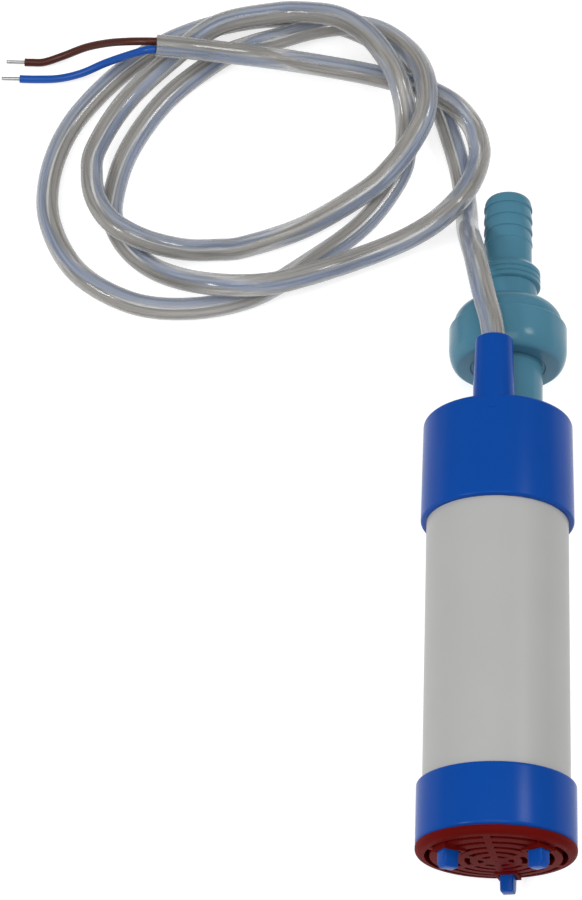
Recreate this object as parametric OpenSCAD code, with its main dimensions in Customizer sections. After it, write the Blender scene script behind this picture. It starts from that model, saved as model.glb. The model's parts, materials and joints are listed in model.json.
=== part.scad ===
// Submersible caravan water pump with a check valve, a hose barb and a coiled two-core cable.
// The pump lies along +Y with its strainer towards -Y, on a floor at z = 0.
// Inside on_axis() a piece is drawn upright: z is the distance from the strainer's face, -y points up.

/* [Housing] */
// Outside diameter of the housing tube
tube_od = 38; // [38:0.5:44]
// Wall of the housing tube
tube_wall = 1.6; // [1.2:0.1:1.8]
// Length of tube that shows between the caps
tube_shown = 73; // [70:1:110]
// Wall of both caps over the tube
cap_wall = 1.5; // [1.4:0.1:2.4]
// Height of the bottom cap
bottom_cap_h = 16.5; // [14:0.5:24]
// Height of the top cap
top_cap_h = 29.4; // [26:0.2:36]
// Taper of the top cap's radius over its height
cap_draft = 0.3; // [0:0.1:0.5]
// Thickness of the end wall of each cap
cap_floor = 3; // [2:0.1:3.6]
// Rounding of the end edge of each cap
cap_round = 1.2; // [0.4:0.1:1.4]
// Thickness of the flat gaskets at the tube's ends
gasket_t = 1; // [0.6:0.1:1.6]

/* [Strainer and feet] */
// Height of the strainer's rim below the bottom cap
rim_h = 2.2; // [1.8:0.1:4]
// Thickness of the slotted plate
grille_t = 1.6; // [1.2:0.1:1.8]
// Bulge of the plate at its centre
grille_dome = 1.2; // [0:0.1:2]
// Width of a strainer slot
slot_w = 1.4; // [0.8:0.1:1.4]
// Number of slot rings
slot_rings = 5; // [3:1:5]
// Distance between slot rings
slot_pitch = 3.4; // [2.8:0.1:3.4]
// Width of the spokes between slots
spoke_w = 1.8; // [1.2:0.1:3]
// Length of the feet beyond the strainer's face
foot_len = 5.4; // [4:0.2:9]
// Thickness of a foot
foot_t = 3.6; // [2:0.1:3.6]
// Distance from the axis to a foot's inner edge
foot_in = 12; // [9:0.2:12]
// Distance from the axis to a foot's outer edge
foot_out = 16.6; // [15:0.2:16.8]
// Turn of each foot from the +X side, unequal so that the strainer goes on one way only
foot_turns = [46, 150, 286]; // [0:1:359]
// Turn of the first spoke from the +X side
spoke_turn = 41; // [0:1:59]

/* [Pump and motor] */
// Diameter of the inlet eye
inlet_d = 16; // [10:0.5:18]
// Diameter of the impeller
impeller_d = 29; // [24:0.5:29.4]
// Number of impeller vanes
vane_n = 6; // [3:1:8]
// Height of the vanes
vane_h = 5; // [3:0.5:8]
// Diameter of the motor can
motor_d = 27.7; // [26:0.1:27.8]
// Length of the motor
motor_len = 46; // [42:1:52]
// Diameter of the motor shaft
shaft_d = 2.3; // [2:0.1:3.2]
// Length of the armature core
core_len = 22; // [14:1:22]

/* [Cable gland] */
// Diameter of the gland at its free end
gland_d = 10.2; // [9:0.1:10.4]
// Diameter of the gland at the cap
gland_base_d = 11.3; // [10.4:0.1:11.6]
// Length of the gland above the cap
gland_len = 18.6; // [12:0.1:18.8]
// Distance of the gland from the middle plane
gland_side = 2; // [0:0.2:3]

/* [Check valve] */
// Sideways distance of the outlet from the axis
outlet_side = 3; // [2:0.2:5]
// Distance of the outlet below the axis
outlet_drop = 4.8; // [4.6:0.1:6]
// Diameter of the socket on the cap
socket_od = 19.2; // [18:0.2:20]
// Length of the socket below the bowl
socket_shown = 20.2; // [20:0.2:28]
// Height of the bowl
bowl_h = 5.8; // [4.6:0.1:7]
// Width of the bowl's rounding
bowl_side = 2.6; // [1.6:0.1:3.2]
// Diameter of the band
band_od = 32.8; // [31:0.2:33]
// Height of the band
band_h = 6.2; // [6:0.1:10]
// Height of the shoulder above the band
shoulder_h = 1.4; // [1:0.1:2.4]
// Height of the dome
dome_h = 5.7; // [5.6:0.1:8]
// Diameter of the valve ball
ball_d = 15; // [13:0.5:15.4]
// Travel of the valve ball
ball_lift = 4; // [2:0.5:4]

/* [Hose barb] */
// Outside diameter of the barb's plain stretch
barb_od = 13.4; // [12.6:0.1:14]
// Bore through the barb and the socket
outlet_bore = 9.6; // [7:0.1:10]
// Length of the neck below the collar
neck_h = 5.8; // [4:0.1:8]
// Diameter of the collar
collar_od = 18.2; // [17:0.1:20]
// Height of the collar
collar_h = 6.5; // [6:0.1:9]
// Length of the barb's plain stretch
barb_plain = 7.3; // [5:0.1:12]
// Number of barb rings
barb_rings = 4; // [2:1:5]
// Distance between barb rings
ring_pitch = 3.8; // [3:0.1:5]
// Height of a barb ring
ring_step = 0.4; // [0.2:0.05:0.7]

/* [Cable] */
// Outside diameter of the cable
cable_d = 6.5; // [5.8:0.1:6.6]
// Diameter of an insulated core
core_d = 2.4; // [2:0.1:2.6]
// Diameter of a bare conductor
wire_d = 1.1; // [0.8:0.1:1.4]
// Length of a bare conductor
bare_len = 5.5; // [4:0.5:10]

/* [Hidden] */
$fn = 96;

// Clearances: fixed fits, shaft running, parts that slide off, and parts that pass each other
snug = 0.05;
run = 0.03;
slip = 0.3;
pass = 1;
lap = 0.4;

// Radii of the housing
tube_r = tube_od / 2;
tube_ir = tube_r - tube_wall;
bore_r = tube_r + snug;
cap_r = bore_r + cap_wall;
cap_top_r = cap_r - cap_draft;
strainer_r = cap_r + snug;
mouth_r = cap_r - 1.2;
lip_round = 0.4;
rim_round = 1.6;

// Distances along the axis, from the strainer's face
inlet_room = 2.8;
floor_low = rim_h + inlet_room;
floor_high = floor_low + cap_floor;
bottom_cap_end = rim_h + bottom_cap_h;
tube_low = floor_high + gasket_t;
top_cap_low = bottom_cap_end + tube_shown;
cap_top = top_cap_low + top_cap_h;
cavity_h = 9.5;
cavity_top = cap_top - cap_floor;
cap_step = cavity_top - cavity_h;
tube_high = cap_step - gasket_t;

// Impeller, pod and motor, stacked from the bottom cap's floor
vane_low = floor_high + pass;
vane_t = 1.4;
vane_lean = 28;
hub_r = 4;
disc_t = 1.5;
impeller_top = vane_low + vane_h + disc_t;
pod_low = impeller_top + pass;
pod_floor = 5;
pod_wall = 1.4;
pod_ir = motor_d / 2 + 0.15;
pod_r = pod_ir + pod_wall;
pod_ribs = 6;
rib_t = 2;
seal_h = 2.6;
seal_r = 4.6;
motor_low = pod_low + pod_floor;
motor_high = motor_low + motor_len;
lead_room = 12;
lid_low = motor_high + lead_room;
lid_t = 3;
lid_high = lid_low + lid_t;
lid_ring = 2.1;
oring_r = 0.45;
groove_half = oring_r + 0.2;
groove_down = 4;

// Inside the motor
shaft_r = shaft_d / 2;
bush_r = 3;
boss_r = 5;
boss_h = 1.8;
can_wall = 1;
can_ir = motor_d / 2 - can_wall;
magnet_t = 2.4;
magnet_gap = 9;
core_r = can_ir - snug - magnet_t - 0.4;
coil_room = 8;
core_low = motor_low + coil_room;
shoe_t = 1.6;
tooth_w = 4.4;
poles = 3;
core_slot = 3;
coil_w = 8.6;
coil_over = 2.5;
comm_r = 3.4;
comm_h = 5;
bell_h = 4;
bell_low = motor_high - bell_h;
bell_boss = 3;
comm_gap = 2;
comm_low = bell_low - comm_gap - comm_h;
brush_w = 2.6;
brush_l = 2;
brush_h = 3;
arm_t = 0.4;
blade_x = 7.5;
blade_w = 2.8;
blade_t = 0.6;
blade_out = 6;

// Gland and the cable inside it
gland_up = cap_top_r - gland_base_d / 2;
gland_end = cap_top + gland_len;
cable_r = cable_d / 2;
entry_len = 7;
entry_low = cavity_top - entry_len;
lead_gap = 2.7;
grommet_r = 4.2;
grommet_up = 7.5;
grommet_lip = 1.5;
lead_bend = lid_high + lead_room;
lead_settle = 0.12;
lead_straight = 4;

// Check valve stack
band_r = band_od / 2;
socket_r = socket_od / 2;
bowl_low = cap_top + socket_shown;
band_low = bowl_low + bowl_h;
band_high = band_low + band_h;
shoulder = band_high + shoulder_h;
neck_low = shoulder + dome_h;
collar_low = neck_low + neck_h;
collar_top = collar_low + collar_h;
barb_r = barb_od / 2;
rings_low = collar_top + barb_plain;
crest_r = barb_r + ring_step / 2;
crest_rise = 0.2;
crest_land = 0.6;
tip = rings_low + barb_rings * ring_pitch;
tip_round = 2.3;
bore = outlet_bore / 2;
spigot_r = bore + 1.6;
spigot_len = 12;
seal_up = 8;
spigot_room = cap_top + spigot_len + slip;
seat_low = spigot_room + 2.7;
seat_h = 2.5;
seat_in = bore + 0.4;
seat_out = bore + 2.8;
seat_top = seat_low + seat_h;
ball_r = ball_d / 2;
ball_at = seat_top + sqrt(ball_r * ball_r - seat_in * seat_in) + slip;
throat_r = ball_r + 0.6;
room_low = bowl_low + 2;
ball_side = 4;
ball_room = ball_r + ball_side;
skirt_r = band_r - 2.1;
skirt_h = 6;
skirt_low = band_high - skirt_h;
band_edge = 0.5;
dome_r = band_r - 1.3;
neck_r = 8.1;
recess_w = 0.9;
recess_h = 1;
guide_t = 1.6;

// The frame: the middle of the length is y = 0 and the lowest point is z = 0
mid = (tip - foot_len) / 2;
axis_h = max(strainer_r, outlet_drop + band_r);

// Points on a quarter or part of an ellipse, for turned outlines
function bow(r, s, wide, high, from, to, n = 6) =
    [for (i = [0:n]) let (a = from + (to - from) * i / n) [r + wide * cos(a), s + high * sin(a)]];

module on_axis() {
    translate([0, -mid, axis_h])
        rotate([-90, 0, 0])
            children();
}

module on_outlet() {
    on_axis()
        translate([outlet_side, outlet_drop, 0])
            children();
}

module on_gland() {
    translate([-gland_side, -gland_up, 0])
        children();
}

module turned(outline) {
    rotate_extrude()
        polygon(outline);
}

module hoop(inner, outer, low, high) {
    rotate_extrude()
        translate([inner, low])
            square([outer - inner, high - low]);
}

module oring(middle, s) {
    rotate_extrude()
        translate([middle, s])
            circle(r = oring_r);
}

module each_foot() {
    for (turn = foot_turns)
        rotate([0, 0, -turn])
            children();
}

// A foot's side view, drawn as distance from the axis against distance along it
module foot_plate(grow, low, high) {
    nose = 0.8;
    rotate([90, 0, 0])
        translate([0, 0, -foot_t / 2 - grow])
            linear_extrude(foot_t + 2 * grow)
                polygon([[foot_in - grow, high], [foot_out + grow, high], [foot_out + grow, low + nose],
                    [foot_out + grow - nose, low], [foot_in - grow, low]]);
}

module strainer() {
    plate_r = strainer_r - rim_round;
    steps = 8;
    fall = [for (i = [0:steps])
        let (r = plate_r * i / steps)
        [r, -grille_dome * (1 - pow(r / plate_r, 2))]];
    back = [for (i = [0:steps]) fall[steps - i] + [0, grille_t]];
    collar_t = 1.1;
    collar_l = foot_out - foot_in + 1.5 * collar_t;
    collar_w = foot_t + 2 * collar_t;
    color("#7a1220")
        on_axis()
            difference() {
                union() {
                    turned(concat(fall, back));
                    turned(concat([[plate_r - 1, 0]], bow(plate_r, rim_round, rim_round, rim_round, -90, 0),
                        [[strainer_r, rim_h], [plate_r - 1, rim_h]]));
                    hoop(mouth_r - slip - 0.8, mouth_r - slip, grille_t - 0.6, rim_h + 2);
                    each_foot()
                        translate([foot_in - collar_t, -foot_t / 2 - collar_t, -grille_dome])
                            cube([collar_l, collar_w, grille_t]);
                }
                for (k = [0:slot_rings - 1])
                    difference() {
                        middle = 3.9 + k * slot_pitch;
                        hoop(middle - slot_w / 2, middle + slot_w / 2, -grille_dome - 1, rim_h);
                        for (a = [0:60:300])
                            rotate([0, 0, -spoke_turn - a])
                                translate([0, -spoke_w / 2, -grille_dome - 2])
                                    cube([strainer_r, spoke_w, rim_h + grille_dome + 3]);
                        each_foot()
                            translate([foot_in - collar_t, -foot_t / 2 - collar_t, -grille_dome - 2])
                                cube([collar_l, collar_w, grille_dome + rim_h + 3]);
                    }
                each_foot()
                    foot_plate(slip, -foot_len, floor_low);
            }
}

module bottom_cap() {
    color("#1438b4")
        on_axis() {
            turned(concat(
                [[mouth_r, rim_h]],
                bow(cap_r - cap_round, rim_h + cap_round, cap_round, cap_round, -90, 0),
                bow(cap_r - lip_round, bottom_cap_end - lip_round, lip_round, lip_round, 0, 90, 3),
                [[bore_r, bottom_cap_end], [bore_r, floor_high], [inlet_d / 2, floor_high],
                    [inlet_d / 2, floor_low], [mouth_r, floor_low]]));
            each_foot()
                foot_plate(0, -foot_len, floor_low + lap);
        }
}

module bottom_gasket() {
    color("#222222")
        on_axis()
            hoop(tube_ir, tube_r, floor_high, tube_low);
}

module housing_tube() {
    color("#d9dbdc")
        on_axis()
            hoop(tube_ir, tube_r, tube_low, tube_high);
}

module top_gasket() {
    color("#222222")
        on_axis()
            hoop(tube_ir, tube_r, tube_high, cap_step);
}

module top_cap() {
    groove_s = cap_top + seal_up;
    groove_r = spigot_r - 2 * oring_r - snug;
    color("#1438b4")
        on_axis()
            difference() {
                union() {
                    turned(concat(
                        [[0, cavity_top], [tube_ir, cavity_top], [tube_ir, cap_step], [bore_r, cap_step],
                            [bore_r, top_cap_low]],
                        bow(cap_r - lip_round, top_cap_low + lip_round, lip_round, lip_round, -90, 0, 3),
                        bow(cap_top_r - cap_round, cap_top - cap_round, cap_round, cap_round, 0, 90),
                        [[0, cap_top]]));
                    on_gland()
                        translate([0, 0, cap_top - cap_round - lap])
                            cylinder(h = gland_len + cap_round + lap, r1 = gland_base_d / 2, r2 = gland_d / 2);
                    translate([outlet_side, outlet_drop, cap_top - lap])
                        cylinder(h = spigot_len + lap, r = spigot_r);
                }
                on_gland() {
                    translate([0, 0, entry_low - pass])
                        cylinder(h = cavity_top - entry_low + pass, r = cable_r + slip);
                    translate([0, 0, cavity_top - lap])
                        cylinder(h = cap_floor + gland_len + 2 * lap, r = cable_r + snug);
                }
                translate([outlet_side, outlet_drop, cavity_top - lap])
                    cylinder(h = cap_floor + spigot_len + 2 * lap, r = bore);
                translate([outlet_side, outlet_drop, 0])
                    hoop(groove_r, spigot_r + 1, groove_s - groove_half, groove_s + groove_half);
            }
}

module socket_seal() {
    color("#222222")
        on_outlet()
            oring(spigot_r - oring_r, cap_top + seal_up);
}

module impeller() {
    impeller_r = impeller_d / 2;
    color("#e8e4d8")
        on_axis()
            difference() {
                union() {
                    translate([0, 0, vane_low])
                        cylinder(h = impeller_top - vane_low, r = hub_r);
                    translate([0, 0, impeller_top - disc_t])
                        cylinder(h = disc_t, r = impeller_r);
                    intersection() {
                        translate([0, 0, vane_low])
                            cylinder(h = vane_h + lap, r = impeller_r);
                        for (k = [0:vane_n - 1])
                            rotate([0, 0, 360 * k / vane_n])
                                translate([hub_r - 1, 0, vane_low])
                                    rotate([0, 0, vane_lean])
                                        cube([impeller_r, vane_t, vane_h + lap]);
                    }
                }
                translate([0, 0, vane_low + 1])
                    cylinder(h = impeller_top, r = shaft_r + snug);
            }
}

module motor_shaft() {
    color("#c8c8c8")
        on_axis()
            translate([0, 0, vane_low + 1 + snug])
                cylinder(h = motor_high + 2 - vane_low, r = shaft_r);
}

module shaft_seal() {
    color("#222222")
        on_axis()
            hoop(shaft_r + run, seal_r - snug, pod_low, pod_low + seal_h);
}

module motor_pod() {
    color("#3a3d42")
        on_axis()
            difference() {
                union() {
                    translate([0, 0, pod_low])
                        cylinder(h = lid_low - pod_low, r = pod_r);
                    for (k = [0:pod_ribs - 1])
                        rotate([0, 0, 360 * (k + 0.5) / pod_ribs])
                            translate([pod_r - lap, -rib_t / 2, floor_high])
                                cube([tube_ir - 0.15 - pod_r + lap, rib_t, lid_low - floor_high]);
                }
                translate([0, 0, motor_low])
                    cylinder(h = lid_low, r = pod_ir);
                translate([0, 0, pod_low - 1])
                    cylinder(h = seal_h + 1, r = seal_r);
                translate([0, 0, pod_low])
                    cylinder(h = pod_floor + lap, r = bush_r + snug);
                translate([0, 0, motor_low - boss_h - snug])
                    cylinder(h = boss_h + 1, r = boss_r + snug);
            }
}

module pod_lid() {
    plug_r = pod_ir - 0.1;
    groove_s = lid_low - groove_down;
    groove_r = pod_ir - 2 * snug - 2 * oring_r;
    color("#3a3d42")
        on_axis()
            difference() {
                turned([[0, lid_low], [plug_r - lid_ring, lid_low], [plug_r - lid_ring, motor_high],
                    [plug_r, motor_high],
                    [plug_r, groove_s - groove_half], [groove_r, groove_s - groove_half],
                    [groove_r, groove_s + groove_half], [plug_r, groove_s + groove_half], [plug_r, lid_low],
                    [pod_r, lid_low], [pod_r, lid_high], [0, lid_high]]);
                translate([-gland_side, -grommet_up, lid_low - 1])
                    cylinder(h = lid_t + 2, r = grommet_r + snug);
            }
}

module pod_seal() {
    color("#222222")
        on_axis()
            oring(pod_ir - snug - oring_r, lid_low - groove_down);
}

module motor_can() {
    edge = 1;
    color("#b9bcc0")
        on_axis()
            turned(concat(
                [[bush_r + snug, motor_low - boss_h], [boss_r, motor_low - boss_h], [boss_r, motor_low]],
                bow(motor_d / 2 - edge, motor_low + edge, edge, edge, -90, 0),
                [[motor_d / 2, motor_high], [can_ir, motor_high], [can_ir, motor_low + can_wall],
                    [bush_r + snug, motor_low + can_wall]]));
}

module motor_magnets() {
    over = 2;
    color("#4a4a4e")
        on_axis()
            difference() {
                hoop(can_ir - snug - magnet_t, can_ir - snug, core_low - over, core_low + core_len + over);
                translate([-motor_d, -magnet_gap / 2, core_low - over - 1])
                    cube([2 * motor_d, magnet_gap, core_len + 2 * over + 2]);
            }
}

module armature_core() {
    color("#8d8f92")
        on_axis()
            translate([0, 0, core_low])
                difference() {
                    union() {
                        difference() {
                            cylinder(h = core_len, r = core_r);
                            translate([0, 0, -1])
                                cylinder(h = core_len + 2, r = core_r - shoe_t);
                            for (k = [0:poles - 1])
                                rotate([0, 0, 360 * (k + 0.5) / poles])
                                    translate([0, -core_slot / 2, -1])
                                        cube([core_r + 1, core_slot, core_len + 2]);
                        }
                        for (k = [0:poles - 1])
                            rotate([0, 0, 360 * k / poles])
                                translate([0, -tooth_w / 2, 0])
                                    cube([core_r - shoe_t / 2, tooth_w, core_len]);
                        cylinder(h = core_len, r = comm_r);
                    }
                    translate([0, 0, -1])
                        cylinder(h = core_len + 2, r = shaft_r + snug);
                }
}

module armature_windings() {
    inner = 4.2;
    outer = sqrt(pow(core_r - shoe_t - slip, 2) - pow(coil_w / 2, 2));
    color("#b5642a")
        on_axis()
            for (k = [0:poles - 1])
                rotate([0, 0, 360 * k / poles])
                    difference() {
                        translate([inner, -coil_w / 2, core_low - coil_over])
                            cube([outer - inner, coil_w, core_len + 2 * coil_over]);
                        translate([inner - 1, -tooth_w / 2 - snug, core_low - snug])
                            cube([outer, tooth_w + 2 * snug, core_len + 2 * snug]);
                    }
}

module commutator() {
    slit = 0.4;
    color("#b87333")
        on_axis()
            difference() {
                hoop(shaft_r + snug, comm_r, comm_low, comm_low + comm_h);
                for (k = [0:poles - 1])
                    rotate([0, 0, 360 * (k + 0.25) / poles])
                        translate([comm_r - 0.8, -slit / 2, comm_low - 1])
                            cube([2, slit, comm_h + 2]);
            }
}

module front_bush() {
    color("#b08d3c")
        on_axis()
            hoop(shaft_r + run, bush_r, motor_low - boss_h, motor_low + 3);
}

module rear_bush() {
    color("#b08d3c")
        on_axis()
            hoop(shaft_r + run, bush_r, bell_low, motor_high + bell_boss);
}

module end_bell() {
    color("#e9e6dc")
        on_axis()
            difference() {
                turned([[bush_r + snug, bell_low], [can_ir - snug, bell_low], [can_ir - snug, motor_high],
                    [boss_r, motor_high], [boss_r, motor_high + bell_boss],
                    [bush_r + snug, motor_high + bell_boss]]);
                for (side = [-1, 1])
                    translate([side * blade_x - blade_t / 2 - snug, -blade_w / 2 - snug, bell_low - 1])
                        cube([blade_t + 2 * snug, blade_w + 2 * snug, motor_high - bell_low + 2]);
            }
}

module brushes() {
    color("#2b2b2b")
        on_axis()
            for (side = [0, 180])
                rotate([0, 0, side])
                    translate([comm_r + 0.1, -brush_w / 2, comm_low + 1])
                        cube([brush_l, brush_w, brush_h]);
}

module brush_arms() {
    color("#c79b3b")
        on_axis()
            for (side = [0, 180])
                rotate([0, 0, side])
                    translate([comm_r + 0.1 + brush_l, -brush_w / 2, comm_low + 1])
                        cube([arm_t, brush_w, bell_low - comm_low - 1]);
}

module terminals() {
    color("#c9c4b4")
        on_axis()
            for (side = [-1, 1])
                translate([side * blade_x - blade_t / 2, -blade_w / 2, bell_low])
                    cube([blade_t, blade_w, motor_high - bell_low + blade_out]);
}

module motor_leads() {
    core_r_mm = core_d / 2;
    color("#6b4a34")
        on_axis()
            for (side = [-1, 1]) {
                across = -gland_side + side * lead_gap / 2;
                beside = side * (blade_x - blade_t / 2 - core_r_mm - snug);
                stops = [[across, -gland_up, entry_low], [across, -gland_up, entry_low - 2],
                    [across, (-gland_up - grommet_up) / 2, (entry_low + lead_bend) / 2],
                    [across, -grommet_up, lead_bend], [across, -grommet_up, lid_high + lead_straight],
                    [across, -grommet_up, lid_low], [across, -grommet_up, lid_low - 0.5],
                    [beside - lead_settle * (beside - across), 0, motor_high + blade_out - 1],
                    [beside, 0, motor_high + blade_out - 3]];
                path = smooth(stops, 3);
                tube(path, set_ends(headings(path), [0, 0, -1], [0, 0, -1]), core_r_mm, 8, [1, 0, 0]);
            }
}

module lead_grommet() {
    color("#222222")
        on_axis()
            difference() {
                translate([-gland_side, -grommet_up, 0]) {
                    translate([0, 0, lid_low])
                        cylinder(h = lid_t + grommet_lip, r = grommet_r);
                    translate([0, 0, lid_high])
                        cylinder(h = grommet_lip, r = grommet_r + 1);
                }
                for (side = [-1, 1])
                    translate([-gland_side + side * lead_gap / 2, -grommet_up, lid_low - 1])
                        cylinder(h = lid_t + grommet_lip + 2, r = core_d / 2 + snug);
            }
}

module cable_entry() {
    color("#c9cdd0")
        on_axis()
            on_gland()
                translate([0, 0, entry_low])
                    cylinder(h = gland_end - entry_low, r = cable_r);
}

module valve_body() {
    color("#0f8f95")
        on_outlet()
            union() {
                turned(concat(
                    [[spigot_r + snug, cap_top], [socket_r, cap_top], [socket_r, bowl_low + recess_h],
                        [socket_r + recess_w, bowl_low + recess_h], [socket_r + recess_w, bowl_low]],
                    bow(band_r - bowl_side, band_low, bowl_side, bowl_h, -90, 0, 8),
                    bow(band_r - band_edge, band_high - band_edge, band_edge, band_edge, 0, 90, 3),
                    [[skirt_r + snug, band_high], [skirt_r + snug, skirt_low], [ball_room, skirt_low],
                        [ball_room, room_low], [throat_r, room_low], [throat_r, seat_top],
                        [seat_out + snug, seat_top], [seat_out + snug, seat_low], [bore, seat_low],
                        [bore, spigot_room], [spigot_r + snug, spigot_room]]));
                for (a = [45:90:315])
                    rotate([0, 0, a])
                        translate([ball_r + lap, -guide_t / 2, room_low - lap])
                            cube([ball_room - ball_r - lap - slip, guide_t, skirt_low - room_low + lap + 4]);
            }
}

module seat_seal() {
    color("#222222")
        on_outlet()
            hoop(seat_in, seat_out, seat_low, seat_top);
}

module valve_ball() {
    color("#e8e4d8")
        on_outlet()
            translate([0, 0, ball_at])
                sphere(r = ball_r);
}

module valve_outlet() {
    cone_low = shoulder + 0.3;
    cone_top = neck_low - 1.3;
    edge = 1.7;
    collar_r = collar_od / 2;
    groove = 0.3;
    lip_r = bore + 0.4;
    stop_low = ball_at + ball_r + ball_lift + slip;
    saw = [for (k = [0:barb_rings - 1])
        let (s = rings_low + k * ring_pitch)
        each [[barb_r - (k == 0 ? 0 : ring_step / 2), s], [crest_r, s + crest_rise],
            [crest_r, s + crest_rise + crest_land]]];
    color("#0f8f95")
        on_outlet()
            union() {
                turned(concat(
                    [[bore, tip], [bore, cone_top], [ball_room, cone_low], [ball_room, skirt_low + snug],
                        [skirt_r, skirt_low + snug], [skirt_r, band_high], [dome_r, band_high]],
                    bow(neck_r, shoulder, dome_r - neck_r, dome_h, 0, 90, 8),
                    [[neck_r, collar_low], [collar_r, collar_low + 0.5]],
                    [for (up = [1.8, 3.4], side = [-1:1])
                        [collar_r - (side == 0 ? groove : 0), collar_low + up + side * groove]],
                    [[collar_r, collar_top - edge], [barb_r + 1, collar_top], [barb_r, collar_top]],
                    saw,
                    bow(lip_r, tip - tip_round, barb_r - lip_r, tip_round, 0, 90)));
                for (a = [0:90:270])
                    rotate([0, 0, a])
                        translate([bore - 1, -guide_t / 2, stop_low])
                            cube([ball_room - bore, guide_t, cone_top - stop_low]);
            }
}

// The cable's route, point by point: the lead from the gland down to the floor and round under the loops
lead_points = [
    [-gland_side, gland_end - mid, axis_h + gland_up], [-2.9, 51, 36.2], [-4.4, 57, 36.2],
    [-5.6, 63, 35.4], [-6.5, 69, 33.5], [-7.2, 74.6, 30.5], [-7.8, 80, 26.2], [-8.2, 85.6, 20.9],
    [-8.4, 90.8, 15.1], [-8.4, 95.8, 9.7], [-8.3, 101, 5.8], [-8.8, 108, 3.8], [-10.2, 118, 3.3],
    [-12.7, 128, 3.3], [-17, 141, 3.3], [-24.5, 153, 3.3], [-35.5, 163, 3.3], [-48, 169, 3.3],
    [-61, 171, 3.3]];

// The first turn, outermost on the left and lying on the floor
first_turn = [
    [-74.5, 170, 3.3], [-90.5, 165, 3.3], [-104, 157, 3.3], [-116.5, 144.5, 3.3], [-126.5, 129, 3.3],
    [-131, 112, 3.3], [-129.5, 96, 3.3], [-120.5, 80.5, 3.3], [-104.5, 71, 3.3], [-87.5, 69.5, 3.3],
    [-70, 74, 3.3], [-55, 84.5, 3.3], [-38.5, 99, 3.3], [-28.5, 115, 4], [-26.5, 124, 8],
    [-27, 132, 14], [-29.5, 140, 18], [-33.5, 148, 18.5], [-39.5, 156, 18.2], [-47.5, 162, 17],
    [-57, 165.5, 14], [-66.5, 166.7, 11.5]];

// The second turn, inside the first on the left and outside it on the right
second_turn = [
    [-83.5, 163, 10], [-97, 152, 8], [-110, 137, 6.5], [-117.5, 120, 7.5], [-118, 110, 9],
    [-116, 101, 10.3], [-111.5, 94, 10.6], [-105.5, 89.8, 10.4], [-98.5, 88, 8.3], [-89.5, 88, 5],
    [-81, 89, 3.6], [-72.5, 90.5, 3.3], [-55, 97, 4.8], [-38, 106.5, 9.5], [-30.5, 112.8, 12.8],
    [-25, 120.3, 15.5], [-21.5, 128, 17.5], [-21, 136, 18.4], [-23, 144.5, 18], [-28, 153.5, 15],
    [-36, 161, 12], [-45.5, 164, 10], [-55.5, 164.5, 6.8]];

// The third turn, from the innermost on the left to the crossing over the lead
third_turn = [
    [-65, 163, 4], [-74.5, 160, 3.3], [-83.5, 155, 3.3], [-98.5, 140, 3.3], [-108.5, 121.5, 3.3],
    [-112, 104, 3.3], [-110.3, 95.5, 3.3], [-105.5, 88, 3.3], [-98.5, 82.3, 3.5], [-90, 78, 5.5],
    [-81, 74.5, 9.3], [-71.5, 73.5, 10.8], [-62.5, 75, 10.3], [-53, 79, 8.8], [-43, 84, 7],
    [-33, 88.3, 7.5], [-24.7, 91.2, 10.4], [-17.5, 95, 13.2]];

// The tail back across the loops to the end of the jacket
tail_points = [
    [-11.6, 101, 14.2], [-7.9, 108.2, 12.6], [-5.5, 116.8, 9], [-4.9, 123.6, 7.4], [-6.9, 130.6, 7.8],
    [-11.6, 136, 9.6], [-17.7, 139.7, 10.7], [-26, 143, 10.8], [-36.5, 146.4, 10], [-48.5, 149.8, 8.4],
    [-62, 152.2, 8], [-73, 152.6, 9.5], [-83, 151.3, 13], [-92, 149.9, 16.5], [-101, 149.5, 18]];

// The two cores from the end of the jacket to their stripped ends on the floor
brown_points = [
    [-101, 150.9, 18], [-104, 150.9, 18], [-110, 152, 16], [-116, 153.7, 12.5], [-123, 155, 8],
    [-130, 154.5, 4], [-136, 153.5, 1.8], [-140, 153.5, 1.4], [-142, 153.5, 1.4]];
blue_points = [
    [-101, 148.1, 18], [-104, 148.1, 17.5], [-110, 148.7, 13.5], [-117, 149.1, 8.5], [-124, 148.1, 4.5],
    [-131, 147.5, 2.2], [-138, 147.5, 1.4], [-143, 147.5, 1.4]];

// A smooth curve through the points p around place i, at fraction t of the way to the next
function pick(p, i) = p[max(0, min(len(p) - 1, i))];
function ease(p, i, t) =
    let (a = pick(p, i - 1), b = pick(p, i), c = pick(p, i + 1), d = pick(p, i + 2))
    (2 * b + (c - a) * t + (2 * a - 5 * b + 4 * c - d) * t * t + (3 * b - a - 3 * c + d) * t * t * t) / 2;
function smooth(p, n) = concat(
    [for (i = [0:len(p) - 2], k = [0:n - 1]) ease(p, i, k / n)],
    [p[len(p) - 1]]);

// Rings of a swept tube, each square to the path
function unit(v) = v / norm(v);
function headings(p) = [for (i = [0:len(p) - 1]) unit(pick(p, i + 1) - pick(p, i - 1))];
function tube_ring(p, ahead, r, sides, above) =
    let (across = unit(cross(ahead, above)), over = cross(across, ahead))
    [for (k = [0:sides - 1]) let (a = 360 * k / sides) p + r * (cos(a) * across + sin(a) * over)];

module tube(p, ahead, r, sides, above = [0, 0, 1]) {
    rings = len(p);
    skin = [for (i = [0:rings - 1]) each tube_ring(p[i], ahead[i], r, sides, above)];
    walls = [for (i = [0:rings - 2], k = [0:sides - 1])
        let (a = i * sides + k, b = i * sides + (k + 1) % sides)
        each [[a, b, a + sides], [b, b + sides, a + sides]]];
    first = [for (k = [1:sides - 2]) [0, k + 1, k]];
    last = [for (k = [1:sides - 2]) let (o = (rings - 1) * sides) [o, o + k, o + k + 1]];
    polyhedron(points = skin, faces = concat(walls, first, last));
}

// Headings with the first and last set, so that tubes meet face to face
function set_ends(h, first, last) =
    [for (i = [0:len(h) - 1]) i == 0 ? first : i == len(h) - 1 ? last : h[i]];

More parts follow.
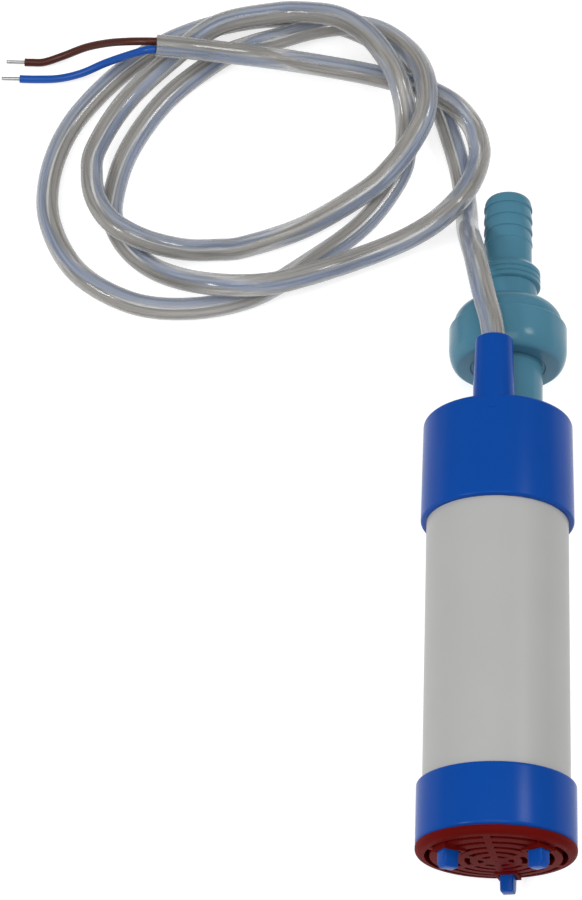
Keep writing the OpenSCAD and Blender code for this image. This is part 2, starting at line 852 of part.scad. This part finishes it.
// The whole route in one smooth line, cut into the lead, the loops and the tail
cable_steps = 2;
cable_stops = concat(lead_points, first_turn, second_turn, third_turn, tail_points);
cable_line = smooth(cable_stops, cable_steps);
cable_ahead = set_ends(headings(cable_line), [0, 1, 0], [-1, 0, 0]);
lead_last = len(lead_points) * cable_steps;
loops_last = (len(cable_stops) - len(tail_points)) * cable_steps;
cable_last = len(cable_line) - 1;

// The least gap between the cable and itself, on points every few millimetres
function length_to(p) = [for (i = 0, s = 0; i < len(p); s = s + norm(pick(p, i + 1) - p[i]), i = i + 1) s];
well_along = 30;
cable_walk = smooth(cable_stops, 6);
walked = length_to(cable_walk);
cable_gap = min([for (i = [0:len(cable_walk) - 1], j = [i + 1:len(cable_walk) - 1])
    if (walked[j] - walked[i] > well_along) norm(cable_walk[j] - cable_walk[i])]) - cable_d;
echo("cable length", walked[len(walked) - 1], "least gap", cable_gap);

module cable_stretch(from, to, sides) {
    color("#c9cdd0")
        tube([for (i = [from:to]) cable_line[i]], [for (i = [from:to]) cable_ahead[i]], cable_r, sides);
}

module cable_lead() {
    cable_stretch(0, lead_last, 10);
}

module cable_loops() {
    cable_stretch(lead_last, loops_last, 6);
}

module cable_tail() {
    cable_stretch(loops_last, cable_last, 10);
}

module brown_core() {
    p = smooth(brown_points, 2);
    color("#6b3a1e")
        tube(p, set_ends(headings(p), [-1, 0, 0], [-1, 0, 0]), core_d / 2, 8);
}

module blue_core() {
    p = smooth(blue_points, 2);
    color("#2c5fb8")
        tube(p, set_ends(headings(p), [-1, 0, 0], [-1, 0, 0]), core_d / 2, 8);
}

module bare_tip(p) {
    color("#b87333")
        translate(p)
            rotate([0, -90, 0])
                cylinder(h = bare_len, r = wire_d / 2);
}

module brown_tip() {
    bare_tip(brown_points[len(brown_points) - 1]);
}

module blue_tip() {
    bare_tip(blue_points[len(blue_points) - 1]);
}

strainer();
bottom_cap();
bottom_gasket();
housing_tube();
top_gasket();
top_cap();
impeller();
motor_shaft();
shaft_seal();
motor_pod();
pod_lid();
pod_seal();
motor_can();
motor_magnets();
armature_core();
armature_windings();
commutator();
front_bush();
rear_bush();
end_bell();
brushes();
brush_arms();
terminals();
motor_leads();
lead_grommet();
cable_entry();
valve_body();
seat_seal();
valve_ball();
valve_outlet();
socket_seal();
cable_lead();
cable_loops();
cable_tail();
brown_core();
blue_core();
brown_tip();
blue_tip();
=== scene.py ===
import json
import math

import bmesh
import bpy
from mathutils import Matrix, Vector


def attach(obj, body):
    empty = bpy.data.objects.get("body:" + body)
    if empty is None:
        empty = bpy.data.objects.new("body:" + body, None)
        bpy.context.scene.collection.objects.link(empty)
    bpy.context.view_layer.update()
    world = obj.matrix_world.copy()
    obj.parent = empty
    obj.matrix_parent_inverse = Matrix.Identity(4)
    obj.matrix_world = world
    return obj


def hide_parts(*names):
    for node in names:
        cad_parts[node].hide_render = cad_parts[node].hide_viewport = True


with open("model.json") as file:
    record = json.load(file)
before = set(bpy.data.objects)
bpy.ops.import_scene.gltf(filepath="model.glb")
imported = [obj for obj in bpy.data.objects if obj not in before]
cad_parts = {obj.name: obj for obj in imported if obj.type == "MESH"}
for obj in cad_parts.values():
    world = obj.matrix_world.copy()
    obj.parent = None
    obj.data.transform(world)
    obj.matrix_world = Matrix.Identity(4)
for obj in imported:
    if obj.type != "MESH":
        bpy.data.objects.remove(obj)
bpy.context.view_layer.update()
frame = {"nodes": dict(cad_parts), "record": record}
nodes = frame["nodes"]
MM = 0.001


# Camera at the photograph's viewing angle

CAMERA_ANGLES = (3.44, 64.51, -1.38)
CAMERA_TARGET = (-56.67, 26.9, 0.6)
CAMERA_AWAY = 722.5
SENSOR = 36
FOCAL_PIXELS = 2576
PHOTO_HEIGHT = 900


def make_camera():
    turn, rise, roll = (math.radians(a) for a in CAMERA_ANGLES)
    back = Vector((math.sin(turn) * math.cos(rise), -math.cos(turn) * math.cos(rise), math.sin(rise)))
    right = Vector((math.cos(turn), math.sin(turn), 0))
    up = back.cross(right)
    side = math.cos(roll) * right + math.sin(roll) * up
    above = -math.sin(roll) * right + math.cos(roll) * up
    data = bpy.data.cameras.new("camera")
    data.sensor_width = SENSOR
    data.lens = SENSOR * FOCAL_PIXELS / PHOTO_HEIGHT
    data.clip_start = 0.01
    data.clip_end = 20
    camera = bpy.data.objects.new("camera", data)
    bpy.context.scene.collection.objects.link(camera)
    place = Matrix((side, above, back)).transposed().to_4x4()
    place.translation = Vector(CAMERA_TARGET) * MM + back * CAMERA_AWAY * MM
    camera.matrix_world = place
    bpy.context.scene.camera = camera


make_camera()


# The cable's route, as in part.scad, in millimetres

CABLE_D = 6.5
LEAD = [
    (-2, 44.8, 35.8), (-2.9, 51, 36.2), (-4.4, 57, 36.2), (-5.6, 63, 35.4), (-6.5, 69, 33.5),
    (-7.2, 74.6, 30.5), (-7.8, 80, 26.2), (-8.2, 85.6, 20.9), (-8.4, 90.8, 15.1), (-8.4, 95.8, 9.7),
    (-8.3, 101, 5.8), (-8.8, 108, 3.8), (-10.2, 118, 3.3), (-12.7, 128, 3.3), (-17, 141, 3.3),
    (-24.5, 153, 3.3), (-35.5, 163, 3.3), (-48, 169, 3.3), (-61, 171, 3.3)]
FIRST_TURN = [
    (-74.5, 170, 3.3), (-90.5, 165, 3.3), (-104, 157, 3.3), (-116.5, 144.5, 3.3), (-126.5, 129, 3.3),
    (-131, 112, 3.3), (-129.5, 96, 3.3), (-120.5, 80.5, 3.3), (-104.5, 71, 3.3), (-87.5, 69.5, 3.3),
    (-70, 74, 3.3), (-55, 84.5, 3.3), (-38.5, 99, 3.3), (-28.5, 115, 4), (-26.5, 124, 8), (-27, 132, 14),
    (-29.5, 140, 18), (-33.5, 148, 18.5), (-39.5, 156, 18.2), (-47.5, 162, 17), (-57, 165.5, 14),
    (-66.5, 166.7, 11.5)]
SECOND_TURN = [
    (-83.5, 163, 10), (-97, 152, 8), (-110, 137, 6.5), (-117.5, 120, 7.5), (-118, 110, 9),
    (-116, 101, 10.3), (-111.5, 94, 10.6), (-105.5, 89.8, 10.4), (-98.5, 88, 8.3), (-89.5, 88, 5),
    (-81, 89, 3.6), (-72.5, 90.5, 3.3), (-55, 97, 4.8), (-38, 106.5, 9.5), (-30.5, 112.8, 12.8),
    (-25, 120.3, 15.5), (-21.5, 128, 17.5), (-21, 136, 18.4), (-23, 144.5, 18), (-28, 153.5, 15),
    (-36, 161, 12), (-45.5, 164, 10), (-55.5, 164.5, 6.8)]
THIRD_TURN = [
    (-65, 163, 4), (-74.5, 160, 3.3), (-83.5, 155, 3.3), (-98.5, 140, 3.3), (-108.5, 121.5, 3.3),
    (-112, 104, 3.3), (-110.3, 95.5, 3.3), (-105.5, 88, 3.3), (-98.5, 82.3, 3.5), (-90, 78, 5.5),
    (-81, 74.5, 9.3), (-71.5, 73.5, 10.8), (-62.5, 75, 10.3), (-53, 79, 8.8), (-43, 84, 7),
    (-33, 88.3, 7.5), (-24.7, 91.2, 10.4), (-17.5, 95, 13.2)]
TAIL = [
    (-11.6, 101, 14.2), (-7.9, 108.2, 12.6), (-5.5, 116.8, 9), (-4.9, 123.6, 7.4), (-6.9, 130.6, 7.8),
    (-11.6, 136, 9.6), (-17.7, 139.7, 10.7), (-26, 143, 10.8), (-36.5, 146.4, 10), (-48.5, 149.8, 8.4),
    (-62, 152.2, 8), (-73, 152.6, 9.5), (-83, 151.3, 13), (-92, 149.9, 16.5), (-101, 149.5, 18)]
CORE_D = 2.4
CORE_OFFSET = 1.45
CORE_STEPS = 6
BROWN = [
    (-101, 150.9, 18), (-104, 150.9, 18), (-110, 152, 16), (-116, 153.7, 12.5), (-123, 155, 8),
    (-130, 154.5, 4), (-136, 153.5, 1.8), (-140, 153.5, 1.4), (-142, 153.5, 1.4)]
BLUE = [
    (-101, 148.1, 18), (-104, 148.1, 17.5), (-110, 148.7, 13.5), (-117, 149.1, 8.5), (-124, 148.1, 4.5),
    (-131, 147.5, 2.2), (-138, 147.5, 1.4), (-143, 147.5, 1.4)]

ROUTE = LEAD + FIRST_TURN + SECOND_TURN + THIRD_TURN + TAIL
ROUTE_STEPS = 8

# How the cores lie in the jacket: a route point's number and the blue core's angle from the cable's right
LAY = [
    (0, 180), (3, 180), (9, 90), (13, 20), (24, 0), (28, 180), (32, 360), (35, 270), (39, 405), (44, 540),
    (51, 540), (55, 720), (59, 630), (63, 720), (67, 900), (70, 900), (73, 810), (78, 720), (80, 690),
    (84, 540), (90, 360), (91, 360), (94, 180), (96, 180)]


def pick(p, i):
    return p[max(0, min(len(p) - 1, i))]


def ease(p, i, t):
    a, b, c, d = (pick(p, i + k) for k in (-1, 0, 1, 2))
    square = 2 * a - 5 * b + 4 * c - d
    cube = 3 * b - a - 3 * c + d
    return (2 * b + (c - a) * t + square * t * t + cube * t ** 3) / 2


def smooth(points, n):
    p = [Vector(q) for q in points]
    return [ease(p, i, k / n) for i in range(len(p) - 1) for k in range(n)] + [p[-1]]


def tube_curve(name, points, diameter, round_steps):
    """A round tube along points, as thick as the points' radius, which also counts in the curve's box."""
    data = bpy.data.curves.new(name, "CURVE")
    data.dimensions = "3D"
    data.bevel_depth = 1
    data.bevel_resolution = round_steps
    data.use_fill_caps = True
    data.twist_mode = "MINIMUM"
    spline = data.splines.new("POLY")
    spline.points.add(len(points) - 1)
    for slot, p in zip(spline.points, points):
        slot.co = (*(p * MM), 1)
        slot.radius = diameter * MM / 2
    spline.use_smooth = True
    piece = bpy.data.objects.new(name, data)
    bpy.context.scene.collection.objects.link(piece)
    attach(piece, "pump")
    return piece


def lay_angle(place):
    for (a, low), (b, high) in zip(LAY, LAY[1:]):
        if place <= b:
            t = (place - a) / (b - a)
            return math.radians(low + (high - low) * t * t * (3 - 2 * t))
    return math.radians(LAY[-1][1])


def core_line(points, offset, turn):
    out = []
    for i, p in enumerate(points):
        ahead = (pick(points, i + 1) - pick(points, i - 1)).normalized()
        right = ahead.cross(Vector((0, 0, 1))).normalized()
        over = right.cross(ahead)
        angle = lay_angle(i / ROUTE_STEPS) + turn
        out.append(p + offset * (math.cos(angle) * right + math.sin(angle) * over))
    return out


def make_cable():
    route = smooth(ROUTE, ROUTE_STEPS)
    jacket = tube_curve("cable_jacket", route, CABLE_D, round_steps=8)
    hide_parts("cable_lead", "cable_loops", "cable_tail")
    inside = []
    for name, turn in (("brown", math.pi), ("blue", 0)):
        line = core_line(route, CORE_OFFSET, turn)
        core = tube_curve("cable_" + name + "_inside", line, CORE_D, round_steps=4)
        inside.append(core)
    ends = []
    for name, points in (("brown", BROWN), ("blue", BLUE)):
        path = smooth(points, CORE_STEPS)
        core = tube_curve(name + "_core_end", path, CORE_D, round_steps=5)
        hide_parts(name + "_core")
        ends.append(core)
    return jacket, inside, ends


jacket, inside, ends = make_cable()


# Materials

MICRON = 0.000001
GRAIN_SCALE = 1500
DRIFT_SCALE = 55
GLOSS_DRIFT = 0.05
PLASTIC_IOR = 1.45


def link(tree, a, b):
    tree.links.new(a, b)


def moulded(name, colour, rough, vary=0.06, bump=4 * MICRON, shine=0.3, alpha=1.0, metal=0.0, glow=0.0,
            clear=0.0, streaks=None):
    """Moulded plastic, rubber or metal: its colour drifts a little and its surface has a fine grain.

    With streaks, the numbers of them along a curve and round it, the colour drifts lengthwise."""
    mat = bpy.data.materials.new(name)
    mat.use_nodes = True
    tree = mat.node_tree
    shader = tree.nodes["Principled BSDF"]
    place = tree.nodes.new("ShaderNodeTexCoord")
    drift = tree.nodes.new("ShaderNodeTexNoise")
    drift.inputs["Scale"].default_value = 1 if streaks else DRIFT_SCALE
    drift.inputs["Detail"].default_value = 3
    if streaks:
        stretch = tree.nodes.new("ShaderNodeMapping")
        stretch.inputs["Scale"].default_value = (*streaks, 1)
        link(tree, place.outputs["UV"], stretch.inputs["Vector"])
        link(tree, stretch.outputs["Vector"], drift.inputs["Vector"])
    else:
        link(tree, place.outputs["Object"], drift.inputs["Vector"])
    ramp = tree.nodes.new("ShaderNodeValToRGB")
    for stop, gain in zip(ramp.color_ramp.elements, (1 - vary, 1 + vary)):
        stop.color = (*(min(1, c * gain) for c in colour), 1)
    ramp.color_ramp.elements[0].position = 0.3
    ramp.color_ramp.elements[1].position = 0.7
    link(tree, drift.outputs["Fac"], ramp.inputs["Fac"])
    link(tree, ramp.outputs["Color"], shader.inputs["Base Color"])
    fine = tree.nodes.new("ShaderNodeTexNoise")
    fine.inputs["Scale"].default_value = GRAIN_SCALE
    fine.inputs["Detail"].default_value = 2
    link(tree, place.outputs["Object"], fine.inputs["Vector"])
    gloss = tree.nodes.new("ShaderNodeMapRange")
    gloss.inputs["To Min"].default_value = rough - GLOSS_DRIFT
    gloss.inputs["To Max"].default_value = rough + GLOSS_DRIFT
    link(tree, fine.outputs["Fac"], gloss.inputs["Value"])
    link(tree, gloss.outputs["Result"], shader.inputs["Roughness"])
    relief = tree.nodes.new("ShaderNodeBump")
    relief.inputs["Strength"].default_value = 0.5
    relief.inputs["Distance"].default_value = bump
    link(tree, fine.outputs["Fac"], relief.inputs["Height"])
    link(tree, relief.outputs["Normal"], shader.inputs["Normal"])
    shader.inputs["Metallic"].default_value = metal
    shader.inputs["Specular IOR Level"].default_value = shine
    shader.inputs["Alpha"].default_value = alpha
    shader.inputs["Transmission Weight"].default_value = clear
    shader.inputs["IOR"].default_value = PLASTIC_IOR
    if glow:
        shader.inputs["Emission Color"].default_value = (1, 1, 1, 1)
        shader.inputs["Emission Strength"].default_value = glow
    return mat


LOOKS = {
    "red_plastic": moulded("red_plastic", (0.105, 0.004, 0.003), 0.5, 0.12, shine=0.02),
    "blue_plastic": moulded("blue_plastic", (0.003, 0.053, 0.285), 0.25, 0.03, bump=MICRON, shine=0.08),
    "grey_tube": moulded("grey_tube", (0.375, 0.374, 0.367), 0.35, 0.015, bump=2 * MICRON, shine=0.12),
    "teal_plastic": moulded("teal_plastic", (0.062, 0.185, 0.26), 0.2, 0.04, bump=MICRON, shine=0.16),
    "rubber": moulded("rubber", (0.02, 0.02, 0.02), 0.6),
    "dark_plastic": moulded("dark_plastic", (0.04, 0.04, 0.045), 0.5),
    "white_plastic": moulded("white_plastic", (0.7, 0.68, 0.62), 0.35, 0.03),
    "steel": moulded("steel", (0.6, 0.61, 0.63), 0.3, 0.05, metal=1.0),
    "ferrite": moulded("ferrite", (0.05, 0.05, 0.055), 0.6),
    "core_steel": moulded("core_steel", (0.35, 0.36, 0.38), 0.45, 0.1, metal=1.0),
    "copper": moulded("copper", (0.75, 0.34, 0.18), 0.35, 0.1, metal=1.0),
    "bronze": moulded("bronze", (0.6, 0.42, 0.18), 0.4, 0.1, metal=1.0),
    "carbon": moulded("carbon", (0.03, 0.03, 0.03), 0.7),
    "tinned_metal": moulded("tinned_metal", (0.42, 0.42, 0.41), 0.35, 0.1, metal=1.0),
    "clear_pvc": moulded("clear_pvc", (0.52, 0.52, 0.505), 0.15, 0.38, bump=MICRON, shine=0.5, alpha=0.75,
                         clear=0.5, streaks=(40, 18)),
    "core_brown": moulded("core_brown", (0.06, 0.012, 0.006), 0.35),
    "core_blue": moulded("core_blue", (0.004, 0.065, 0.32), 0.35),
    "brown_inside": moulded("brown_inside", (0.19, 0.15, 0.115), 0.5, 0.25),
    "blue_inside": moulded("blue_inside", (0.07, 0.19, 0.47), 0.5, 0.25),
}


def dress(piece, look):
    piece.data.materials.clear()
    piece.data.materials.append(LOOKS[look])


for row in frame["record"]["subparts"]:
    dress(nodes[row["node"]], row["material_slot"])
dress(jacket, "clear_pvc")
for piece, look in zip(inside + ends, ("brown_inside", "blue_inside", "core_brown", "core_blue")):
    dress(piece, look)


# Turned pieces, in millimetres: outlines are closed lists of distances from the axis and from the strainer

MID = 94.9
AXIS = (0, 21.2)
OUTLET = (3, 16.4)
GLAND = (-2, 35.8)
SMALL_STEPS = 96
SHARP_FROM = 32

# Both caps: their outside, the rounding of the closed edge and of the lip, and their fit on the tube
CAP_R = 20.55
EDGE = 1.2
LIP = 0.7
TUBE_FIT = 19.05
CAP_TOP = 121.1

# The feet, a little thinner at the tip than at the root
FOOT_TURNS = (46, 150, 286)
FOOT_IN = 12
FOOT_OUT = 16.6
FOOT_ROOT = 5.3
FOOT_TIP = -5.4
ROOT_HALF = 2
TIP_HALF = 1.7
FOOT_ROUND = 0.45
NOSE_UP = 1
NOSE_IN = 0.8
INNER_DRAFT = 0.2

# The way of the water: its bore, the spigot on the top cap, the room for the ball and the valve's joint
BORE = 4.8
SPIGOT_R = 6.4
ROOM_R = 11.5
JOINT = 153.3
RIB_HALF = 0.8

# The hose barb and its rings
BARB_R = 6.7
BARB_TIP = 195.2
RING_R = 6.9
GROOVE_R = 6.5
RINGS = 4
RINGS_LOW = 180
RING_PITCH = 3.8
RING_RISE = 0.2
RING_LAND = 0.6


def arc(r, s, wide, high, start, stop, n=10):
    angles = [math.radians(start + (stop - start) * i / n) for i in range(n + 1)]
    return [(r + wide * math.cos(a), s + high * math.sin(a)) for a in angles]


def lathe(bm, outline, axis, steps=180):
    x, z = axis
    rings = []
    for r, s in outline:
        count = steps if r > 0 else 1
        ring = []
        for k in range(count):
            turn = 2 * math.pi * k / steps
            place = Vector((x + r * math.sin(turn), s - MID, z + r * math.cos(turn)))
            ring.append(bm.verts.new(place * MM))
        rings.append(ring)
    for low, high in zip(rings, rings[1:] + rings[:1]):
        for k in range(steps):
            below = [low[k % len(low)], low[(k + 1) % len(low)]]
            above = [high[(k + 1) % len(high)], high[k % len(high)]]
            face = list(dict.fromkeys(below + above))
            if len(face) > 2:
                bm.faces.new(face)


def slab(bm, corners, axis, angle, rounding=0):
    """A block between two outlines of (distance out, sideways, along), turned about an axis."""
    x, z = axis
    c, s = math.cos(math.radians(angle)), math.sin(math.radians(angle))
    places = [Vector((x + c * r - s * w, y - MID, z + s * r + c * w)) for r, w, y in corners]
    verts = [bm.verts.new(place * MM) for place in places]
    n = len(verts) // 2
    first, last = verts[:n], verts[n:]
    faces = [bm.faces.new(first), bm.faces.new(last)]
    faces += [bm.faces.new((first[k], first[(k + 1) % n], last[(k + 1) % n], last[k])) for k in range(n)]
    if rounding:
        edges = list({e for f in faces for e in f.edges})
        bmesh.ops.bevel(bm, geom=edges, offset=rounding * MM, segments=3, profile=0.5, affect="EDGES")


def four_ribs(bm, inner, outer, low, high, first_turn):
    rib = [(inner, -RIB_HALF), (outer, -RIB_HALF), (outer, RIB_HALF), (inner, RIB_HALF)]
    for k in range(4):
        slab(bm, [(r, w, s) for s in (low, high) for r, w in rib], OUTLET, first_turn + 90 * k)


def piece_from(bm, name, node, look):
    bmesh.ops.recalc_face_normals(bm, faces=bm.faces)
    mesh = bpy.data.meshes.new(name)
    bm.to_mesh(mesh)
    bm.free()
    for face in mesh.polygons:
        face.use_smooth = True
    mesh.set_sharp_from_angle(angle=math.radians(SHARP_FROM))
    piece = bpy.data.objects.new(name, mesh)
    bpy.context.scene.collection.objects.link(piece)
    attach(piece, "pump")
    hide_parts(node)
    dress(piece, look)


def make_bottom_cap():
    rim = 2.2
    end = 18.7
    mouth = CAP_R - EDGE
    inlet = 8
    floor_low = 5
    floor_high = 8
    bm = bmesh.new()
    lathe(bm, arc(mouth, rim + EDGE, EDGE, EDGE, -90, 0) + arc(CAP_R - LIP, end - LIP, LIP, LIP, 0, 90)
          + [(TUBE_FIT, end), (TUBE_FIT, floor_high), (inlet, floor_high), (inlet, floor_low),
             (mouth, floor_low)], AXIS)
    for turn in FOOT_TURNS:
        side = []
        for half in (-1, 1):
            root, tip = half * ROOT_HALF, half * TIP_HALF
            side += [(FOOT_IN, root, FOOT_ROOT), (FOOT_OUT, root, FOOT_ROOT),
                     (FOOT_OUT, tip, FOOT_TIP + NOSE_UP), (FOOT_OUT - NOSE_IN, tip, FOOT_TIP),
                     (FOOT_IN + INNER_DRAFT, tip, FOOT_TIP)]
        slab(bm, side, AXIS, turn, FOOT_ROUND)
    piece_from(bm, "bottom_cap_shell", "bottom_cap", "blue_plastic")


def make_top_cap():
    end = 91.7
    tube_stop = 108.6
    room_r = 17.4
    floor_low = 118.1
    draft = 0.3
    bm = bmesh.new()
    lathe(bm, [(0, floor_low), (room_r, floor_low), (room_r, tube_stop), (TUBE_FIT, tube_stop),
               (TUBE_FIT, end)]
          + arc(CAP_R - LIP, end + LIP, LIP, LIP, -90, 0)
          + arc(CAP_R - draft - EDGE, CAP_TOP - EDGE, EDGE, EDGE, 0, 90) + [(0, CAP_TOP)], AXIS)
    gland_in = 3.3
    gland_root = 5.65
    gland_tip = 5.1
    gland_low = 117
    taper_low = 119.5
    gland_top = 139.7
    gland_round = 0.5
    lathe(bm, [(gland_in, gland_low), (gland_root, gland_low), (gland_root, taper_low)]
          + arc(gland_tip - gland_round, gland_top - gland_round, gland_round, gland_round, 0, 90)
          + [(gland_in, gland_top)], GLAND, SMALL_STEPS)
    spigot_low = 119
    spigot_top = 133.1
    lathe(bm, [(BORE, spigot_low), (SPIGOT_R, spigot_low), (SPIGOT_R, spigot_top), (BORE, spigot_top)],
          OUTLET, SMALL_STEPS)
    piece_from(bm, "top_cap_shell", "top_cap", "blue_plastic")


def make_valve_body():
    socket_in = SPIGOT_R + 0.05
    socket_r = 9.6
    socket_top = 133.4
    recess = 0.3
    recess_in = 0.6
    bowl_low = 141.3
    bowl_r = 16.4
    sweep_wide = 2.6
    sweep_high = 5.8
    rim_round = 0.5
    skirt_in = 14.35
    skirt_low = 147.3
    room_low = 143.3
    seal_r = 8.1
    seal_low = 138.6
    seat_r = 7.65
    seat_low = 136.1
    bm = bmesh.new()
    lathe(bm, [(socket_in, CAP_TOP), (socket_r, CAP_TOP), (socket_r, bowl_low + recess),
               (socket_r + recess_in, bowl_low + recess), (socket_r + recess_in + recess, bowl_low)]
          + arc(bowl_r - sweep_wide, bowl_low + sweep_high, sweep_wide, sweep_high, -90, 0, 16)
          + arc(bowl_r - rim_round, JOINT - rim_round, rim_round, rim_round, 0, 90, 6)
          + [(skirt_in, JOINT), (skirt_in, skirt_low), (ROOM_R, skirt_low), (ROOM_R, room_low),
             (seal_r, room_low), (seal_r, seal_low), (seat_r, seal_low), (seat_r, seat_low),
             (BORE, seat_low), (BORE, socket_top), (socket_in, socket_top)], OUTLET)
    four_ribs(bm, inner=7.9, outer=11.2, low=142.9, high=151.3, first_turn=45)
    piece_from(bm, "valve_body_shell", "valve_body", "teal_plastic")


def make_valve_outlet():
    plug_r = 14.3
    plug_low = 147.35
    room_high = 155
    stop_low = 156.1
    stop_high = 159.1
    dome_r = 15.1
    dome_low = 154.7
    dome_high = 5.7
    neck_r = 8.1
    notch_r = 8.8
    collar_r = 9.1
    collar_top = 172.7
    chamfer_r = 7.7
    tip_wide = 1.5
    tip_high = 2.3
    rings = []
    for k in range(RINGS):
        s = RINGS_LOW + RING_PITCH * k
        crest = s + RING_RISE
        rings += [(GROOVE_R if k else BARB_R, s), (RING_R, crest), (RING_R, crest + RING_LAND)]
    bm = bmesh.new()
    lathe(bm, [(BORE, BARB_TIP), (BORE, stop_high), (ROOM_R, room_high), (ROOM_R, plug_low),
               (plug_r, plug_low), (plug_r, JOINT), (dome_r, JOINT)]
          + arc(neck_r, dome_low, dome_r - neck_r, dome_high, 0, 90, 16)
          + [(neck_r, 166.2), (notch_r, 166.4), (collar_r, 166.7), (collar_r, 167.7), (notch_r, 168),
             (collar_r, 168.3), (collar_r, 169.3), (notch_r, 169.6), (collar_r, 169.9), (collar_r, 171),
             (chamfer_r, collar_top), (BARB_R, collar_top)]
          + rings + arc(BARB_R - tip_wide, BARB_TIP - tip_high, tip_wide, tip_high, 0, 90), OUTLET)
    four_ribs(bm, inner=3.8, outer=10.5, low=stop_low, high=stop_high, first_turn=0)
    piece_from(bm, "valve_outlet_shell", "valve_outlet", "teal_plastic")


make_bottom_cap()
make_top_cap()
make_valve_body()
make_valve_outlet()


# Floor and light, in metres and watts

FLOOR_HALF = 3
SKY_STRENGTH = 0.4

# Each light's name, place, the point it faces, its two sides and its power
LIGHTS = [
    ("left_box", (-0.85, -0.45, 0.78), (0, 0, 0), (0.3, 0.14), 5),
    ("right_box", (0.75, 0.25, 1.05), (0, 0, 0), (0.3, 0.3), 5),
    ("top_box", (-0.1, -0.3, 1.4), (-0.05, 0.05, 0), (0.9, 0.7), 8)]


def make_stage():
    mesh = bpy.data.meshes.new("floor")
    corners = [(x * FLOOR_HALF, y * FLOOR_HALF, 0) for x, y in ((-1, -1), (1, -1), (1, 1), (-1, 1))]
    mesh.from_pydata(corners, [], [(0, 1, 2, 3)])
    floor = bpy.data.objects.new("floor", mesh)
    bpy.context.scene.collection.objects.link(floor)
    floor.data.materials.append(moulded("floor", (0.5, 0.498, 0.5), 0.8, 0.005, shine=0.03, glow=0.7))
    world = bpy.data.worlds.new("world")
    bpy.context.scene.world = world
    world.use_nodes = True
    sky = world.node_tree.nodes["Background"]
    sky.inputs["Color"].default_value = (1, 1, 1, 1)
    sky.inputs["Strength"].default_value = SKY_STRENGTH


def make_light(name, place, look_at, size, watts):
    data = bpy.data.lights.new(name, "AREA")
    data.shape = "RECTANGLE"
    data.size, data.size_y = size
    data.energy = watts
    lamp = bpy.data.objects.new(name, data)
    bpy.context.scene.collection.objects.link(lamp)
    lamp.location = place
    lamp.rotation_mode = "QUATERNION"
    lamp.rotation_quaternion = (Vector(look_at) - Vector(place)).to_track_quat("-Z", "Y")


make_stage()
for row in LIGHTS:
    make_light(*row)
bpy.context.scene.view_settings.view_transform = "Standard"

bpy.context.view_layer.update()
